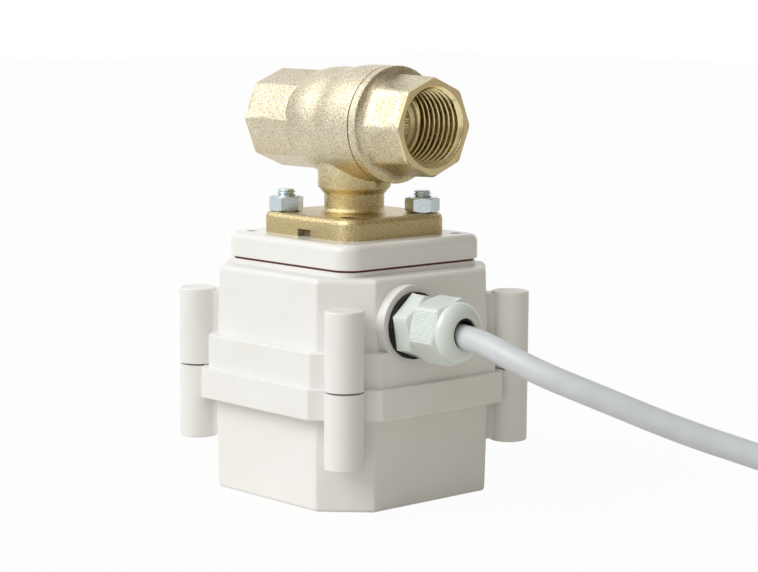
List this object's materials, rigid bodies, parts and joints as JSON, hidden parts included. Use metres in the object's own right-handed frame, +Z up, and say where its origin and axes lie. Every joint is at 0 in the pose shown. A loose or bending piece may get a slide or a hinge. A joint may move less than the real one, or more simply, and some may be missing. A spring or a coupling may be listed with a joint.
{
  "type": "motorized ball valve",
  "caption": "Brass ball valve turned by a boxy moulded electric actuator bolted to its square flange, with a gland and a long round cord.",
  "frame": {"origin": "centre of the flat foot of the actuator's cap", "axes": "+Z up, from the actuator to the valve and along its stem; +X along the pipe towards the end connector, which is also the side of the cord"},
  "size_m": [0.2607, 0.0925, 0.1122],
  "materials": {
    "housing_plastic": "moulded warm white, half gloss",
    "cast_brass": "sand cast, pale, fine grain; machined at threads and faces",
    "machined_brass": "turned",
    "chromed_brass": "polished",
    "white_seat": "moulded seat",
    "zinc_steel": "zinc plated",
    "seal_rubber": "matt black",
    "gasket_rubber": "dark red brown",
    "black_plastic": "moulded",
    "gear_nylon": "natural",
    "gland_nylon": "pale, glossy",
    "board_green": "coated board",
    "terminal_plastic": "moulded",
    "cord_sheath": "light grey, satin",
    "core_insulation": "coloured cores"
  },
  "bodies": {
    "housing": {"actuator_cap": "housing_plastic", "actuator_body": "housing_plastic", "housing_seal": "seal_rubber", "cover_screws": "zinc_steel", "adapter_gasket": "gasket_rubber", "adapter_plate": "housing_plastic", "adapter_screws": "zinc_steel", "flange_bolts": "zinc_steel", "flange_nuts": "zinc_steel", "valve_body": "cast_brass", "end_connector": "cast_brass", "connector_seal": "seal_rubber", "seat_rings": "white_seat", "thrust_washer": "white_seat", "shaft_bush": "black_plastic", "shaft_seal": "seal_rubber", "gear_pins": "zinc_steel", "gearhead": "zinc_steel", "gearmotor": "zinc_steel", "gear_plate": "zinc_steel", "gear_plate_screws": "zinc_steel", "motor_screws": "zinc_steel", "limit_switches": "black_plastic", "switch_screws": "zinc_steel", "circuit_board": "board_green", "board_screws": "zinc_steel", "terminal_block": "terminal_plastic", "capacitor": "black_plastic", "gland_washer": "seal_rubber", "gland_body": "gland_nylon", "gland_insert": "seal_rubber", "gland_nut": "gland_nylon", "gland_locknut": "gland_nylon", "cord_tail": "cord_sheath", "inner_cores": "core_insulation", "cable": "cord_sheath", "cable_coil": "cord_sheath", "core_ends": "core_insulation", "core_sleeves": "zinc_steel"},
    "spindle": {"output_shaft": "machined_brass", "output_gear": "gear_nylon", "gear_key": "zinc_steel", "limit_cams": "black_plastic", "cam_screw": "zinc_steel", "stem": "machined_brass", "stem_seals": "seal_rubber", "ball": "chromed_brass"},
    "second_gear": {"second_gear": "gear_nylon"},
    "first_gear": {"first_gear": "gear_nylon"},
    "motor_rotor": {"motor_pinion": "machined_brass"},
    "closed_lever": {"closed_lever": "zinc_steel"},
    "open_lever": {"open_lever": "zinc_steel"}
  },
  "joints": [
    {"name": "valve_turn", "type": "hinge", "parent": "housing", "child": "spindle", "pos_m": [0, 0, 0.0526], "axis": [0, 0, 1], "range_deg": [0, 90]},
    {"name": "second_gear_turn", "type": "hinge", "parent": "housing", "child": "second_gear", "pos_m": [-0.0075, 0.01299, 0.05], "axis": [0, 0, 1], "range_deg": [-360, 0]},
    {"name": "first_gear_turn", "type": "hinge", "parent": "housing", "child": "first_gear", "pos_m": [-0.01669, 0.00528, 0.046], "axis": [0, 0, 1], "range_deg": [0, 1080]},
    {"name": "motor_turn", "type": "hinge", "parent": "housing", "child": "motor_rotor", "pos_m": [-0.01669, -0.00672, 0.044], "axis": [0, 0, 1], "range_deg": [-3240, 0]},
    {"name": "closed_lever_swing", "type": "hinge", "parent": "housing", "child": "closed_lever", "pos_m": [0.0099, 0.006, 0.0356], "axis": [0, 0, 1], "range_deg": [0, 9.05]},
    {"name": "open_lever_swing", "type": "hinge", "parent": "housing", "child": "open_lever", "pos_m": [0.0099, 0.006, 0.0298], "axis": [0, 0, 1], "range_deg": [-9.05, 0]}
  ],
  "couplings": [
    {"joint": "second_gear_turn", "follows": "valve_turn", "ratio": -4},
    {"joint": "first_gear_turn", "follows": "valve_turn", "ratio": 12},
    {"joint": "motor_turn", "follows": "valve_turn", "ratio": -36},
    {"joint": "closed_lever_swing", "follows": "valve_turn", "ratio": 0.10055},
    {"joint": "open_lever_swing", "follows": "valve_turn", "ratio": -0.10055}
  ]
}
